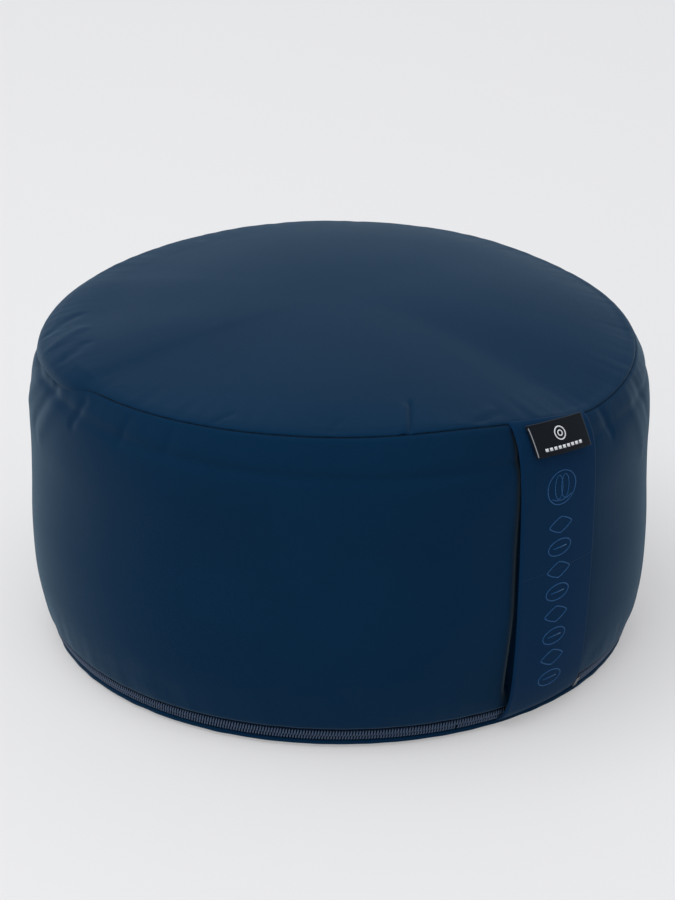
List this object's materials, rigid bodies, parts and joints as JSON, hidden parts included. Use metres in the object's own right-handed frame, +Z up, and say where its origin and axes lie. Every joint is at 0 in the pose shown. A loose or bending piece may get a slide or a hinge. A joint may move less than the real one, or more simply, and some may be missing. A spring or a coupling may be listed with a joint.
{
  "type": "round floor cushion",
  "caption": "Round drum-shaped floor cushion with a zipped cotton cover, side carry strap and a hull-filled inner liner.",
  "frame": {"origin": "centre of the round base, on the floor", "axes": "+Z up through the seat, -Y out through the carry strap"},
  "size_m": [0.302, 0.3054, 0.1678],
  "materials": {
    "cover_cotton": "matte tightly woven cotton canvas",
    "zip_tape": "matte woven polyester tape",
    "zip_coil": "satin nylon coil",
    "zip_metal": "satin enamel",
    "webbing": "ribbed cotton webbing",
    "motif_thread": "slightly shiny thread",
    "label_cloth": "woven satin label",
    "label_thread": "white thread",
    "care_satin": "white satin tape",
    "liner_cotton": "unbleached cotton sheeting",
    "liner_zip_tape": "woven polyester tape",
    "liner_zip_coil": "nylon coil",
    "hulls": "loose dark buckwheat hulls"
  },
  "bodies": {
    "bottom_lid": {"bottom_panel": "cover_cotton", "zip_tape_lower": "zip_tape", "zip_coil_lower": "zip_coil"},
    "cover": {"top_panel": "cover_cotton", "side_panel": "cover_cotton", "top_seam_allowance": "cover_cotton", "zip_tape_upper": "zip_tape", "zip_coil_upper": "zip_coil", "zip_tape_ends": "zip_tape", "zip_coil_ends": "zip_coil", "strap_top_end": "webbing", "strap_bottom_end": "webbing", "care_label": "care_satin", "liner_top_panel": "liner_cotton", "liner_side_panel": "liner_cotton", "liner_bottom_panel": "liner_cotton", "liner_zip_tapes": "liner_zip_tape", "liner_zip_coils": "liner_zip_coil", "liner_zip_stops": "zip_metal", "hull_fill": "hulls", "zip_end_stops": "zip_metal"},
    "strap_grip": {"strap_grip": "webbing", "strap_motif": "motif_thread"},
    "label": {"side_label": "label_cloth", "label_motif": "label_thread"},
    "liner_slider": {"liner_zip_slider": "zip_metal", "liner_zip_pull": "zip_metal"},
    "slider_left": {"zip_slider_left": "zip_metal", "zip_bridge_left": "zip_metal"},
    "pull_left": {"zip_pull_left": "zip_metal"},
    "slider_right": {"zip_slider_right": "zip_metal", "zip_bridge_right": "zip_metal"},
    "pull_right": {"zip_pull_right": "zip_metal"}
  },
  "joints": [
    {"name": "base_open", "type": "hinge", "parent": "bottom_lid", "child": "cover", "pos_m": [0, -0.1415, 0.0005], "axis": [1, 0, 0], "range_deg": [0, 65]},
    {"name": "strap_lift", "type": "slide", "parent": "cover", "child": "strap_grip", "axis": [0, -1, 0], "range_m": [0, 0.015]},
    {"name": "label_flip", "type": "hinge", "parent": "cover", "child": "label", "pos_m": [0, -0.1445, 0.1538], "axis": [-1, 0, 0], "range_deg": [0, 120]},
    {"name": "liner_zip_run", "type": "slide", "parent": "cover", "child": "liner_slider", "axis": [1, 0, 0], "range_m": [0, 0.15]},
    {"name": "zip_run_left", "type": "hinge", "parent": "cover", "child": "slider_left", "pos_m": [0, 0, 0.00675], "axis": [0, 0, 1], "range_deg": [0, 155]},
    {"name": "zip_pull_swing_left", "type": "hinge", "parent": "slider_left", "child": "pull_left", "pos_m": [-0.00666, 0.14675, 0.00475], "axis": [0, 0, -1], "range_deg": [0, 100]},
    {"name": "zip_run_right", "type": "hinge", "parent": "cover", "child": "slider_right", "pos_m": [0, 0, 0.00675], "axis": [0, 0, -1], "range_deg": [0, 155]},
    {"name": "zip_pull_swing_right", "type": "hinge", "parent": "slider_right", "child": "pull_right", "pos_m": [0.00666, 0.14675, 0.00475], "axis": [0, 0, 1], "range_deg": [0, 100]}
  ]
}
